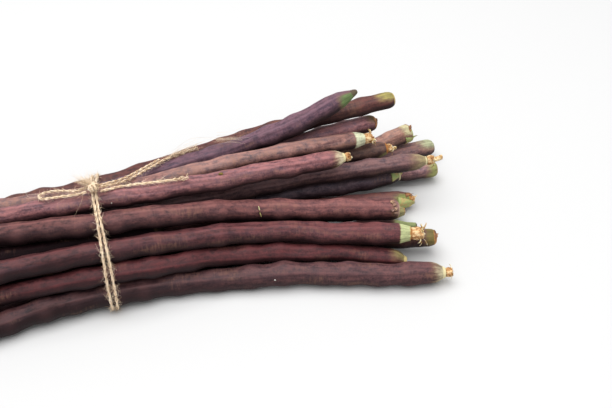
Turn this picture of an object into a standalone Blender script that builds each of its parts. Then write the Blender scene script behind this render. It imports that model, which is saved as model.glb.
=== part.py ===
"""A bunch of purple yardlong beans tied with jute twine, lying on a table.

The pods run along X, stem ends towards +X, and lie across Y. The origin is on the table, under
the middle of the bunch. Two turns of twine hold the pods about a third of the way from the stem
ends. The turns end in a knot on top, with one flat bow loop and two loose tails.
"""

import math
from collections import namedtuple

import bmesh
import bpy
import numpy as np
from mathutils import Matrix, Vector
from mathutils.geometry import convex_hull_2d

# ---------------------------------------------------------------- driving dimensions, metres
MM = 0.001
GAP = 0.3 * MM  # clearance between pieces that touch
TWINE = 1.6 * MM  # thickness of the twine
TIE_X = 61.5 * MM  # where the two turns of twine go round the bunch
TIE_REACH = 7 * MM  # the pods are lifted off the table this far to each side of the tie
TURN_PITCH = 2.0 * MM  # from one turn of twine to the other
SIDES = 8  # corners of a pod's section, with a flat one below
RING_STEP = 20 * MM  # between two sections of a pod
SETTLE_POINTS = 48  # points of a pod's centreline while the pods are packed together
SETTLE_PASSES = 260
NEIGHBOUR = 18 * MM  # pods whose centrelines are farther apart don't touch
TABLE_SNAP = 0.5 * MM  # a pod's underside this near the table lies flat on it
TAPER = 75 * MM  # the length of a pod's thinning tip
NECK = 2.3 * MM  # radius of a pod's cut stem end
BEAK = 0.9 * MM  # radius of a pod's pointed tip

# One pod: its diameter, and the points that its centreline passes, in millimetres. The stem end,
# halfway to the tie and the tip are (x, y, z); the place in the tie is (y, z).
Pod = namedtuple("Pod", "wide stem mid tie far tip")

PODS = {
    # resting on the table, front to back
    "pod_01": Pod(10.6, (207, -46, 6), (157, -33, 6), (-21.5, 5.5), (14, -27.3, 5.3), (-224, -42, 4)),
    "pod_02": Pod(8.8, (210, -28, 9), (180, -19, 8), (-11.5, 5.5), (10, -15.5, 5), (-196, -33, 3)),
    "pod_03": Pod(8.8, (206, -14, 6), (135, -8, 6), (-2.5, 6), (10, -5.5, 6), (-218, -22, 3)),
    "pod_04": Pod(8.6, (88, 5.5, 7), (76, 6, 7), (6.5, 7), (10, 4, 6), (-205, -11, 3)),
    "pod_05": Pod(8.8, (209, 4, 6), (180, 8, 6), (15.5, 7), (10, 13, 6), (-182, 0, 3)),
    "pod_06": Pod(9.0, (230, 23, 6), (195, 26, 6), (24.5, 7), (10, 22, 6), (-212, 14, 3)),
    "pod_07": Pod(8.8, (235, 41, 6), (150, 37, 6), (33.5, 8), (10, 32, 6), (-176, 36, 3)),
    # second layer
    "pod_08": Pod(9.0, (193, -34, 6), (165, -20, 7), (-19, 17), (14, -15, 15), (-230, -27, 9)),
    "pod_09": Pod(8.8, (100, -10, 15), (80, -10, 16), (-10, 16), (10, -9, 14), (-188, -16, 10)),
    "pod_10": Pod(8.6, (203, -5, 6), (140, -2, 12), (-1, 15), (10, 0, 14), (-226, -5, 10)),
    "pod_11": Pod(8.6, (207, 16, 12), (155, 13, 12), (8, 17), (10, 9, 14), (-204, 6, 9)),
    "pod_12": Pod(8.8, (114, 18, 14), (90, 18, 15), (17, 16), (10, 18, 14), (-193, 20, 8)),
    "pod_13": Pod(8.6, (203, 26, 22), (168, 25, 22), (26, 16), (10, 27, 13), (-220, 27, 5)),
    "pod_14": Pod(8.8, (222, 43, 17), (190, 37, 13), (34, 14), (10, 36, 12), (-212, 47, 4)),
    # third layer
    "pod_15": Pod(10.0, (196, -29, 17), (125, -15, 17), (-14, 26), (14, -15, 24), (-210, -38, 12)),
    "pod_16": Pod(9.0, (88, -4, 22), (76, -5, 23), (-5, 24), (14, -6, 24), (-200, -20, 14)),
    "pod_17": Pod(8.8, (219, 12, 22), (165, 13, 22), (4, 28), (10, 3, 23), (-190, -8, 14)),
    "pod_18": Pod(8.6, (200, 36, 32), (165, 31, 31), (13, 26), (10, 13, 22), (-230, 14, 14)),
    "pod_19": Pod(9.4, (187, 30, 58), (133, 25, 36.5), (23, 27), (10, 26, 21), (-214, 34, 12)),
    "pod_20": Pod(8.6, (209, 36, 44), (136, 34, 36.5), (31, 22), (10, 33, 18), (-180, 42, 10)),
    # on top
    "pod_21": Pod(10.0, (196, -13, 17), (137, -4, 23.5), (-6, 34), (18, 0, 31), (-222, -10, 18)),
    "pod_22": Pod(9.2, (176, 10, 34), (130, 6, 38), (4, 38), (18, 10, 33), (-235, 6, 20)),
    "pod_23": Pod(8.2, (190, 22, 33), (135, 15.5, 38), (13, 35), (15, 19, 30), (-198, 24, 16)),
}


# ---------------------------------------------------------------- centrelines of the pods
def through(route, at):
    """The natural cubic curve through the route's points, read at the given X values."""
    route = np.array(sorted(route), float)
    x, values = route[:, 0], route[:, 1:]
    step = np.diff(x)
    slope = np.diff(values, axis=0) / step[:, None]
    bend = np.zeros_like(values)
    inner = len(x) - 2
    system = np.zeros((inner, inner))
    for i in range(inner):
        system[i, i] = 2 * (step[i] + step[i + 1])
        if i:
            system[i, i - 1] = step[i]
        if i < inner - 1:
            system[i, i + 1] = step[i + 1]
    bend[1:-1] = np.linalg.solve(system, 6 * np.diff(slope, axis=0))
    k = np.clip(np.searchsorted(x, at) - 1, 0, len(step) - 1)
    left, right = (x[k + 1] - at)[:, None], (at - x[k])[:, None]
    h = step[k][:, None]
    curved = (bend[k] * left**3 + bend[k + 1] * right**3) / (6 * h)
    straight = values[k] / h - bend[k] * h / 6, values[k + 1] / h - bend[k + 1] * h / 6
    return np.column_stack([at, curved + straight[0] * left + straight[1] * right])


def pod_radius(pod, from_tip, length):
    """A pod's radius at distances from its tip: a long thin tip, and a rounded stem end."""
    full = pod.wide * MM / 2
    tip = np.clip(from_tip / TAPER, 0, 1)
    stem = np.clip((length - from_tip) / full, 0, 1)
    thin = BEAK + (full - BEAK) * np.sin(tip * math.pi / 2) ** 0.8
    return np.minimum(thin, NECK + (full - NECK) * np.sqrt(1 - (1 - stem) ** 2))


def first_route(number, pod):
    """A pod's planned centreline from tip to stem end, with the slight waves of a grown pod."""
    tie = (TIE_X / MM, *pod.tie)
    at = np.linspace(pod.tip[0], pod.stem[0], SETTLE_POINTS)
    line = through([pod.stem, pod.mid, tie, pod.far, pod.tip], at)
    loose = 1 + 2 * np.clip((tie[0] - at) / 200, 0, 1)
    wave = np.sin(at / (17 + number % 5) + 1.9 * number) * loose
    line[:, 1] += 0.5 * wave + 0.8 * loose * np.sin(at / 41 + number)
    line[:, 2] += 0.3 * np.roll(wave, number)
    return line * MM


def nearest(points, starts, ends):
    """For pairs of a point and a segment: the vector from the segment, and the share along it."""
    along = ends - starts
    share = ((points - starts) * along).sum(-1) / (along * along).sum(-1)
    share = np.clip(share, 0, 1)
    return points - starts - share[:, None] * along, share


def settle(routes, radii):
    """Moves the planned centrelines as little as needed so that no pods pass through each other."""
    count, each = routes.shape[:2]
    owner = np.repeat(np.arange(count), each)
    flat_radii = radii.reshape(-1)
    first = np.array([i for i in range(count * each) if (i + 1) % each])
    moved = np.zeros_like(routes)
    for turn in range(SETTLE_PASSES):
        place = (routes + moved).reshape(-1, 3)
        if turn % 10 == 0:
            middle = (place[first] + place[first + 1]) / 2
            far = np.linalg.norm(place[:, None] - middle[None], axis=2)
            point, segment = np.nonzero((far < NEIGHBOUR) & (owner[:, None] != owner[first][None]))
            segment = first[segment]
        away, share = nearest(place[point], place[segment], place[segment + 1])
        distance = np.linalg.norm(away, axis=1)
        at_segment = flat_radii[segment] * (1 - share) + flat_radii[segment + 1] * share
        short = flat_radii[point] + at_segment + 1.3 * GAP - distance
        hit = short > 0
        push = (away * (short / np.maximum(distance, 1e-6))[:, None])[hit] * 0.22
        shift = np.zeros_like(place)
        np.add.at(shift, point[hit], push)
        np.add.at(shift, segment[hit], -push * (1 - share[hit])[:, None])
        np.add.at(shift, segment[hit] + 1, -push * share[hit][:, None])
        moved += shift.reshape(routes.shape)
        calm = 1 - turn / SETTLE_PASSES
        moved *= 1 - 0.03 * calm
        smooth = moved.copy()
        smooth[:, 1:-1] = (moved[:, :-2] + moved[:, 2:]) / 2
        moved += (smooth - moved) * (0.5 * calm)
        lowest = radii + np.where(np.abs(routes[..., 0] - TIE_X) < TIE_REACH, TWINE + 2 * GAP, 0)
        moved[..., 2] = np.maximum(moved[..., 2], lowest - routes[..., 2])
    return routes + moved


def along(line):
    """Distance along a line of points, from its first one."""
    return np.concatenate([[0], np.cumsum(np.linalg.norm(np.diff(line, axis=0), axis=1))])


def pod_lines():
    """The settled centreline of each pod, from tip to stem end."""
    routes = np.array([first_route(i, pod) for i, pod in enumerate(PODS.values())])
    radii = np.array([pod_radius(p, along(r), along(r)[-1]) for p, r in zip(PODS.values(), routes)])
    return dict(zip(PODS, settle(routes, radii)))


# ---------------------------------------------------------------- the scene
def material(name, colour, roughness):
    made = bpy.data.materials.new(name)
    made.use_nodes = True
    shader = made.node_tree.nodes["Principled BSDF"]
    shader.inputs["Base Color"].default_value = (*colour, 1)
    shader.inputs["Roughness"].default_value = roughness
    shader.inputs["Metallic"].default_value = 0
    return made


def add(name, data, colour, roughness):
    """Puts a piece in the scene, with a material of its own."""
    data.materials.append(material(name, colour, roughness))
    piece = bpy.data.objects.new(name, data)
    bpy.context.collection.objects.link(piece)
    return piece


def section_frame(centre, tangent, radius):
    """The place of a section with its local Y upwards and its local Z along the piece."""
    side = Vector((0, 0, 1)).cross(tangent).normalized()
    axes = Matrix((side * radius, tangent.cross(side) * radius, tangent * radius)).transposed()
    return Matrix.Translation(centre) @ axes.to_4x4()


def round_piece(name, stations, colour, roughness):
    """A solid drawn out from ring to ring. A station is (centre, tangent, radius)."""
    bm = bmesh.new()
    flat_below = Matrix.Rotation(math.pi / SIDES, 4, "Z")
    ring = bmesh.ops.create_circle(
        bm, segments=SIDES, radius=1, cap_ends=True, matrix=flat_below
    )["verts"]
    edges = bm.edges[:]
    frames = [section_frame(*station) for station in stations]
    bmesh.ops.transform(bm, matrix=frames[0], verts=ring)
    for before, after in zip(frames, frames[1:]):
        drawn = bmesh.ops.extrude_edge_only(bm, edges=edges)["geom"]
        ring = [part for part in drawn if isinstance(part, bmesh.types.BMVert)]
        edges = [part for part in drawn if isinstance(part, bmesh.types.BMEdge)]
        edges = [edge for edge in edges if all(vert in ring for vert in edge.verts)]
        bmesh.ops.transform(bm, matrix=after @ before.inverted(), verts=ring)
    bmesh.ops.contextual_create(bm, geom=edges)
    for vert in bm.verts:
        if vert.co.z < TABLE_SNAP:
            vert.co.z = 0
    bmesh.ops.recalc_face_normals(bm, faces=bm.faces)
    mesh = bpy.data.meshes.new(name)
    bm.to_mesh(mesh)
    bm.free()
    mesh.shade_smooth()
    return add(name, mesh, colour, roughness)


# ---------------------------------------------------------------- pods and dried calyxes
POD_COLOUR = (0.075, 0.028, 0.032)
CALYX_COLOUR = (0.36, 0.19, 0.07)

# How much a ring of the rounded stem end stands back, in radii of the pod.
STEM_RINGS = (1.0, 0.45, 0.12, 0.0)
# The same for the thin tip, in shares of the taper.
TIP_RINGS = (0.0, 0.04, 0.14, 0.34, 0.62)

# The dried calyx left on a pod's stem end: its length and its width at the pod, in millimetres.
CALYXES = {
    "pod_01": (4.5, 4.4),
    "pod_05": (3.5, 4.2),
    "pod_13": (5.5, 4.4),
    "pod_15": (8.0, 4.2),
    "pod_17": (7.5, 4.4),
    "pod_22": (3.8, 4.4),
    "pod_23": (6.2, 4.4),
}
# A calyx from the pod outwards: share of its length, and share of its width.
CALYX_OUTLINE = ((0.0, 0.86), (0.25, 1.0), (0.6, 0.8), (1.0, 0.45))


def make_pod(name, pod, line):
    far = along(line)
    length = far[-1]
    full = pod.wide * MM / 2
    start = [share * TAPER for share in TIP_RINGS]
    end = [length - share * full for share in STEM_RINGS]
    middle = np.linspace(TAPER, end[0], round((end[0] - TAPER) / RING_STEP) + 1)[:-1]
    stations = []
    for distance in [*start, *middle, *end]:
        centre = Vector([np.interp(distance, far, line[:, axis]) for axis in range(3)])
        ahead = [np.interp(distance + 5 * MM, far, line[:, axis]) for axis in range(3)]
        behind = [np.interp(distance - 5 * MM, far, line[:, axis]) for axis in range(3)]
        tangent = (Vector(ahead) - Vector(behind)).normalized()
        stations.append((centre, tangent, float(pod_radius(pod, distance, length))))
    round_piece(name, stations, POD_COLOUR, 0.5)
    return stations[-1]


def make_calyx(name, size, pod_end):
    centre, tangent, _ = pod_end
    length, width = size[0] * MM, size[1] * MM
    stations = []
    for share, wide in CALYX_OUTLINE:
        place = centre + tangent * (GAP + share * length)
        stations.append((place, tangent, width / 2 * wide))
    round_piece(name, stations, CALYX_COLOUR, 0.85)


# ---------------------------------------------------------------- jute twine
TWINE_COLOUR = (0.55, 0.40, 0.22)
HULL_STEPS = 24  # points round a pod where the twine bends over it

KNOT_AT = Vector((61.5, 2.4, 48.1)) * MM
KNOT_SIZE = Vector((3.4, 4.0, 1.9)) * MM  # half of its length, width and height

# The routes of the free twine, in millimetres, from the knot outwards.
BOW_LOOP = [
    (58.5, 3.9, 46.8), (54, 6.6, 43.9), (49.6, 10.5, 41.6), (45.6, 13.0, 40.4), (42.1, 14.2, 39.6),
    (39.6, 14.1, 39.4), (38.2, 12.2, 40.2), (38.2, 8.8, 41.6), (40.1, 6.2, 42.8), (43.7, 5.5, 43.2),
    (48.0, 4.6, 43.8), (53.1, 3.3, 44.6), (58.3, 1.5, 46.6),
]  # fmt: skip
LONG_TAIL = [
    (64.8, 2.9, 46.9), (67.7, 5.6, 44.8), (72.8, 8.7, 42.8), (78.3, 12.3, 41.5), (83.5, 17.3, 39.8),
    (88.9, 22.5, 38.0), (93.4, 26.6, 36.8), (99.3, 29.1, 36.6), (105.2, 30.5, 37.0),
    (110.5, 30.7, 37.6),
]  # fmt: skip
SHORT_TAIL = [
    (64.6, 0.7, 46.5), (67.5, 2.2, 45.4), (71.3, 2.9, 45.3), (77.7, 2.8, 45.3), (84.5, 2.3, 45.2),
    (91, 2.2, 45.0), (97.5, 2.0, 44.8), (102, 2.0, 44.9),
]  # fmt: skip


def twine(name, points, closed=False):
    curve = bpy.data.curves.new(name, "CURVE")
    curve.dimensions = "3D"
    curve.bevel_depth = TWINE / 2
    curve.bevel_resolution = 2
    curve.use_fill_caps = not closed
    spline = curve.splines.new("POLY")
    spline.points.add(len(points) - 1)
    for point, place in zip(spline.points, points):
        point.co = (*place, 1)
    spline.use_cyclic_u = closed
    return add(name, curve, TWINE_COLOUR, 0.9)


def smooth_route(route, step):
    """Evenly spaced points on the round curve through a route's points, in metres."""
    route = [Vector(point) * MM for point in route]
    route = [2 * route[0] - route[1], *route, 2 * route[-1] - route[-2]]
    fine = []
    for before, start, end, after in zip(route, route[1:], route[2:], route[3:]):
        for share in np.linspace(0, 1, 12, endpoint=False):
            pull = (end - before) / 2, (after - start) / 2
            fine.append(
                start * (2 * share**3 - 3 * share**2 + 1)
                + pull[0] * (share**3 - 2 * share**2 + share)
                + end * (3 * share**2 - 2 * share**3)
                + pull[1] * (share**3 - share**2)
            )
    fine = np.array([*fine, route[-2]])
    far = along(fine)
    even = np.linspace(0, far[-1], round(far[-1] / step) + 1)
    return np.stack([np.interp(even, far, fine[:, axis]) for axis in range(3)], axis=1)


def turn_of_twine(name, x, lines):
    """One turn of twine, drawn tight round all pods at one place along the bunch."""
    reach = TWINE / 2 + 1.6 * GAP
    round_pods = []
    for pod, line in zip(PODS.values(), lines.values()):
        if line[-1, 0] > x:
            centre = [np.interp(x, line[:, 0], line[:, axis]) for axis in (1, 2)]
            radius = (pod.wide * MM / 2 + reach) / math.cos(math.pi / HULL_STEPS)
            for step in range(HULL_STEPS):
                turn = 2 * math.pi * step / HULL_STEPS
                spot = centre[0] + radius * math.cos(turn), centre[1] + radius * math.sin(turn)
                round_pods.append(Vector(spot))
    outline = [round_pods[i] for i in convex_hull_2d(round_pods)]
    return twine(name, [(x, *spot) for spot in outline], closed=True)


def make_knot():
    bm = bmesh.new()
    shape = Matrix.LocRotScale(KNOT_AT, None, KNOT_SIZE)
    bmesh.ops.create_icosphere(bm, subdivisions=2, radius=1, matrix=shape)
    mesh = bpy.data.meshes.new("knot")
    bm.to_mesh(mesh)
    bm.free()
    mesh.shade_smooth()
    add("knot", mesh, TWINE_COLOUR, 0.9)


# ---------------------------------------------------------------- the bunch
for old in list(bpy.data.objects):
    bpy.data.objects.remove(old)

centrelines = pod_lines()
for pod_name, shape in PODS.items():
    last_ring = make_pod(pod_name, shape, centrelines[pod_name])
    if pod_name in CALYXES:
        make_calyx(pod_name.replace("pod", "calyx"), CALYXES[pod_name], last_ring)

turn_of_twine("twine_turn_1", TIE_X - TURN_PITCH / 2, centrelines)
turn_of_twine("twine_turn_2", TIE_X + TURN_PITCH / 2, centrelines)
make_knot()
twine("bow_loop", smooth_route(BOW_LOOP, 2.5 * TWINE))
twine("tail_long", smooth_route(LONG_TAIL, 2.5 * TWINE))
twine("tail_short", smooth_route(SHORT_TAIL, 2.5 * TWINE))
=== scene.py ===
"""A bunch of purple yardlong beans, tied with jute twine and lying on a table.

It is put together here as a packer would do it: first the free ends of the twine, because the
space that they may take is fixed, then the pods, what is left of their flowers and stalks, the
specks on their skins, and last the two turns of twine and the knot that hold the bunch.
"""

import math
from collections import namedtuple

import bmesh
import bpy
import numpy as np
from mathutils import Matrix, Vector, noise
from mathutils.geometry import convex_hull_2d


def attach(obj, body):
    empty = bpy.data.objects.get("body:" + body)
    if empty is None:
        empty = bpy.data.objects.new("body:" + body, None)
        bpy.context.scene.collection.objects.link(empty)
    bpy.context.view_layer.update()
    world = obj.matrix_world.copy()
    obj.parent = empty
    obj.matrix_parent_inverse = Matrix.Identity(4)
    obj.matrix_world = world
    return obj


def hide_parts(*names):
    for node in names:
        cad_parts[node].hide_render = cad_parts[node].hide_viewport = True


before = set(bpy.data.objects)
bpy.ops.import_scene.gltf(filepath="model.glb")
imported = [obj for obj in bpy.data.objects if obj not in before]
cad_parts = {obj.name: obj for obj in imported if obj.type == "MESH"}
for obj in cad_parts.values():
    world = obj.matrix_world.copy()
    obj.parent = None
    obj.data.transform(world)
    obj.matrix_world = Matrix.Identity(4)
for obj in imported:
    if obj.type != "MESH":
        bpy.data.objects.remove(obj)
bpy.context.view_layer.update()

# ---------------- viewpoint
# Seen by somebody who stands at the table in front of the tie and looks down to the stem ends.
# The far part of the bunch, with the thin tips, is outside this view to the left.
MM = 0.001
LOOKED_AT = Vector((0.160, 0.020, 0.0))
# angles round the bunch and up from the table, and a distance in metres
EYE_TURN, EYE_HEIGHT, EYE_DISTANCE = math.radians(-15), math.radians(42), 0.425

eye_back = Vector(
    (
        math.sin(EYE_TURN) * math.cos(EYE_HEIGHT),
        -math.cos(EYE_TURN) * math.cos(EYE_HEIGHT),
        math.sin(EYE_HEIGHT),
    )
)
camera = bpy.data.objects.new("camera", bpy.data.cameras.new("camera"))
bpy.context.scene.collection.objects.link(camera)
camera.data.lens = 50
camera.data.sensor_width = 36
camera.data.clip_start = 0.01
camera.location = LOOKED_AT + eye_back * EYE_DISTANCE
camera.rotation_mode = "QUATERNION"
camera.rotation_quaternion = (-eye_back).to_track_quat("-Z", "Y")
bpy.context.scene.camera = camera


# ---------------- free ends of the twine
# Jute twine of two plies, each a bundle of yarns spun the other way round. The bow loop goes from
# the knot towards the tips and back. Two tails run towards the stem ends, where they are frayed.
TWINE = 1.6 * MM
PLY_OFFSET = 0.29 * MM  # from the middle of the twine to the middle of a ply
YARN_OFFSET = 0.21 * MM  # from the middle of a ply to the middle of a yarn
YARN = 0.155 * MM  # radius of a yarn
YARNS = 5  # in a ply
LAY = 6.6 * MM  # along the twine, for one full turn of the plies
YARN_LAY = 4.2 * MM
TWINE_STEP = 0.5 * MM  # between two points of a yarn
HAIR = 0.038 * MM  # radius of a stray fibre
HAIR_REACH = 2.4 * MM  # how far one may stand off the twine

# The routes from the knot outwards, in millimetres, as they lie on the pods.
BOW_LOOP = [
    (58.5, 3.9, 46.8), (54, 6.6, 43.9), (49.6, 10.5, 41.6), (45.6, 13.0, 40.4), (42.1, 14.2, 39.6),
    (39.6, 14.1, 39.4), (38.2, 12.2, 40.2), (38.2, 8.8, 41.6), (40.1, 6.2, 42.8), (43.7, 5.5, 43.2),
    (48.0, 4.6, 43.8), (53.1, 3.3, 44.6), (58.3, 1.5, 46.6),
]
LONG_TAIL = [
    (64.8, 2.9, 46.9), (67.7, 5.6, 44.8), (72.8, 8.7, 42.8), (78.3, 12.3, 41.5), (83.5, 17.3, 39.8),
    (88.9, 22.5, 38.0), (93.4, 26.6, 36.8), (99.3, 29.1, 36.6), (105.2, 30.5, 37.0),
    (110.5, 30.7, 37.6),
]
SHORT_TAIL = [
    (64.6, 0.7, 46.5), (67.5, 2.2, 45.4), (71.3, 2.9, 45.3), (77.7, 2.8, 45.3), (84.5, 2.3, 45.2),
    (91, 2.2, 45.0), (97.5, 2.0, 44.8), (102, 2.0, 44.9),
]

chance = np.random.default_rng(5)


def along(line):
    """Distance along a line of points, from its first one."""
    return np.concatenate([[0], np.cumsum(np.linalg.norm(np.diff(line, axis=0), axis=1))])


def spaced(line, step):
    """The same line with evenly spaced points."""
    far = along(line)
    even = np.linspace(0, far[-1], max(2, round(far[-1] / step) + 1))
    return np.stack([np.interp(even, far, line[:, axis]) for axis in range(3)], axis=1)


def smooth_route(route, step):
    """Evenly spaced points on the round curve through a route's points, all in metres."""
    route = np.array(route, float)
    route = np.vstack([2 * route[0] - route[1], route, 2 * route[-1] - route[-2]])
    share = np.linspace(0, 1, 24, endpoint=False)[:, None]
    fine = []
    for before, start, end, after in zip(route, route[1:], route[2:], route[3:]):
        fine.append(
            start * (2 * share**3 - 3 * share**2 + 1)
            + (end - before) / 2 * (share**3 - 2 * share**2 + share)
            + end * (3 * share**2 - 2 * share**3)
            + (after - start) / 2 * (share**3 - share**2)
        )
    return spaced(np.vstack([*fine, route[-2][None]]), step)


def unit(vectors):
    """The same directions, each with a length of one."""
    return vectors / np.linalg.norm(vectors, axis=-1, keepdims=True)


def directions(line, closed=False):
    """The direction of a line at each of its points."""
    if closed:
        return unit(np.roll(line, -1, axis=0) - np.roll(line, 1, axis=0))
    return unit(np.gradient(line, axis=0))


def laid_yarns(line, axis, closed=False, fray=0.0):
    """The yarns of two-ply twine along a line. A frayed end has them spread over that length."""
    ahead = directions(line, closed)
    side = unit(np.cross(np.array(axis, float), ahead))
    up = np.cross(ahead, side)
    far = along(line)
    whole = far[-1] + (np.linalg.norm(line[0] - line[-1]) if closed else 0)
    turns, yarn_turns = whole / LAY, whole / YARN_LAY
    if closed:
        turns, yarn_turns = round(turns), round(yarn_turns)
    loose = np.zeros(len(line))
    if fray:
        loose = np.clip((far - far[-1] + fray) / fray, 0, 1) ** 1.7
    first = chance.uniform(0, 2 * math.pi)
    slub_spots = np.linspace(0, far[-1], len(far) // 8 + 2)
    yarns = []
    for ply in range(2):
        angle = first + ply * math.pi + 2 * math.pi * turns * far / whole
        spread = PLY_OFFSET * (1 + 1.2 * loose)
        middle = line + (side * np.cos(angle)[:, None] + up * np.sin(angle)[:, None]) * spread[:, None]
        for yarn in range(YARNS):
            own = yarn * 2 * math.pi / YARNS - 2 * math.pi * yarn_turns * far / whole
            splay = YARN_OFFSET * (1 + chance.uniform(0.5, 5.0) * loose * min(yarn, 1))
            offset = side * np.cos(own)[:, None] + up * np.sin(own)[:, None]
            points = middle + offset * splay[:, None]
            torn = chance.uniform(0, 0.35) * fray if yarn > 2 else 0
            end = len(points) - round(torn / TWINE_STEP)
            slubs = np.interp(far, slub_spots, chance.uniform(0.75, 1.25, len(slub_spots)))
            thick = YARN * chance.uniform(0.85, 1.15) * slubs * (1 - 0.45 * loose)
            yarns.append((points[:end], thick[:end], closed))
    return yarns


def hairs(line, each, longest, closed=False):
    """Stray fibres that stand off a line of twine: one for each so many metres of it."""
    ahead = directions(line, closed)
    found = []
    for _ in range(round(along(line)[-1] / each)):
        spot = chance.integers(1, len(line) - 1)
        away = unit(np.cross(ahead[spot], chance.normal(size=3)))
        lean = ahead[spot] * chance.choice([-1.0, 1.0]) * chance.uniform(0.4, 1.6)
        length = chance.uniform(0.25, 1.0) ** 1.6 * longest
        share = np.linspace(0, 1, 7)[:, None]
        curl = unit(chance.normal(size=3)) * length * 0.35
        bent = (away + lean) * share * length * 0.6 + curl * share**2
        points = line[spot] + away * TWINE * 0.3 + bent
        stands_off = np.linalg.norm(points[:, None] - line[None], axis=2).min(1).max()
        points = line[spot] + (points - line[spot]) * min(1, HAIR_REACH / stands_off)
        points[:, 2] = np.maximum(points[:, 2], HAIR)
        found.append((points, HAIR * np.linspace(1.2, 0.5, 7), False))
    return found


def stray(route):
    """One long stray fibre through the points of a route, in millimetres."""
    points = smooth_route(np.array(route) * MM, 1.0 * MM)
    return points, np.linspace(1.2, 0.6, len(points)) * HAIR, False


def fibre_mesh(name, fibres, roundness=1):
    """One mesh of many thin tubes. A fibre is its points, its radii, and if it is a closed ring."""
    curve = bpy.data.curves.new(name, "CURVE")
    curve.dimensions = "3D"
    curve.bevel_depth = 1
    curve.bevel_resolution = roundness
    for points, radii, closed in fibres:
        if not closed:
            ends = 1.5 * points[[0, -1]] - 0.5 * points[[1, -2]]
            points = np.vstack([ends[:1], points, ends[1:]])
            radii = np.concatenate([[0], radii, [0]])
        spline = curve.splines.new("POLY")
        spline.points.add(len(points) - 1)
        spline.points.foreach_set("co", np.column_stack([points, np.ones(len(points))]).ravel())
        spline.points.foreach_set("radius", np.array(radii, np.float32))
        spline.use_cyclic_u = closed
    drawn = bpy.data.objects.new(name + "_drawn", curve)
    mesh = bpy.data.meshes.new_from_object(drawn)
    bpy.data.objects.remove(drawn)
    bpy.data.curves.remove(curve)
    mesh.name = name
    counts = [len(points) + (0 if closed else 2) for points, _, closed in fibres]
    ring = len(mesh.vertices) // sum(counts)
    tone = np.concatenate([np.full(count * ring, chance.random()) for count in counts])
    mesh.attributes.new("fibre", "FLOAT", "POINT").data.foreach_set("value", tone)
    bm = bmesh.new()
    bm.from_mesh(mesh)
    bmesh.ops.remove_doubles(bm, verts=bm.verts, dist=0.0001 * MM)
    bm.to_mesh(mesh)
    bm.free()
    mesh.shade_smooth()
    return mesh


class Shade:
    """A socket of a material. Arithmetic on it adds Math nodes to that material."""

    def __init__(self, tree, socket=None):
        self.tree, self.socket = tree, socket

    def add(self, kind, settings=None, sockets=None, out=0):
        """A new node: first its settings, then the values or links of its sockets."""
        node = self.tree.nodes.new("ShaderNode" + kind)
        for key, value in (settings or {}).items():
            if key == "stops":
                for _ in value[2:]:
                    node.color_ramp.elements.new(0.5)
                for element, (place, colour) in zip(node.color_ramp.elements, value):
                    element.position, element.color = place, colour
            else:
                setattr(node, key, value)
        for key, value in (sockets or {}).items():
            if isinstance(value, Shade):
                self.tree.links.new(value.socket, node.inputs[key])
            else:
                node.inputs[key].default_value = value
        return Shade(self.tree, node.outputs[out])

    def math(self, operation, first, second=0.0):
        return self.add("Math", {"operation": operation}, {0: first, 1: second})

    def __add__(self, other):
        return self.math("ADD", self, other)

    def __sub__(self, other):
        return self.math("SUBTRACT", self, other)

    def __mul__(self, other):
        return self.math("MULTIPLY", self, other)

    __radd__, __rmul__ = __add__, __mul__

    def step(self, low, high):
        """0 below low, 1 above high, and smooth between them."""
        ends = {"Value": self, "From Min": low, "From Max": high}
        return self.add("MapRange", {"interpolation_type": "SMOOTHSTEP"}, ends)

    def attribute(self, name, out=2):
        return self.add("Attribute", {"attribute_name": name}, out=out)

    def stretch(self, x, y, z):
        return self.add("VectorMath", {"operation": "MULTIPLY"}, {0: self, 1: (x, y, z)})

    def shifted(self, x, y, z):
        return self.add("VectorMath", {"operation": "ADD"}, {0: self, 1: (x, y, z)})

    def noise(self, scale, detail=2.0, rough=0.5):
        sockets = {"Vector": self, "Scale": scale, "Detail": detail, "Roughness": rough}
        return self.add("TexNoise", None, sockets)

    def mixed(self, colour, amount):
        """This colour with another one mixed in, by an amount from 0 to 1."""
        sockets = {0: amount, 6: self, 7: colour}
        return self.add("Mix", {"data_type": "RGBA"}, sockets, out=2)


def paint(red, green, blue):
    """A colour as on a paint card, 0 to 255, in the linear form that materials take."""
    parts = [part / 255 for part in (red, green, blue)]
    return (*(p / 12.92 if p < 0.04045 else ((p + 0.055) / 1.055) ** 2.4 for p in parts), 1.0)


def new_material(name, **constants):
    """A material, its empty shade to build on, and a call that joins it to the surface."""
    made = bpy.data.materials.new(name)
    made.use_nodes = True
    shader = made.node_tree.nodes["Principled BSDF"]
    for key, value in constants.items():
        shader.inputs[key.replace("_", " ")].default_value = value

    def finish(**linked):
        for key, value in linked.items():
            socket = shader.inputs[key.replace("_", " ")]
            made.node_tree.links.new(value.socket, socket)

    return made, Shade(made.node_tree), finish


def piece_of(name, mesh, material):
    """Puts a finished mesh in the scene as a piece of the bunch, at the origin."""
    mesh.materials.clear()
    mesh.materials.append(material)
    piece = bpy.data.objects.new(name, mesh)
    bpy.context.scene.collection.objects.link(piece)
    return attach(piece, "root")


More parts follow.
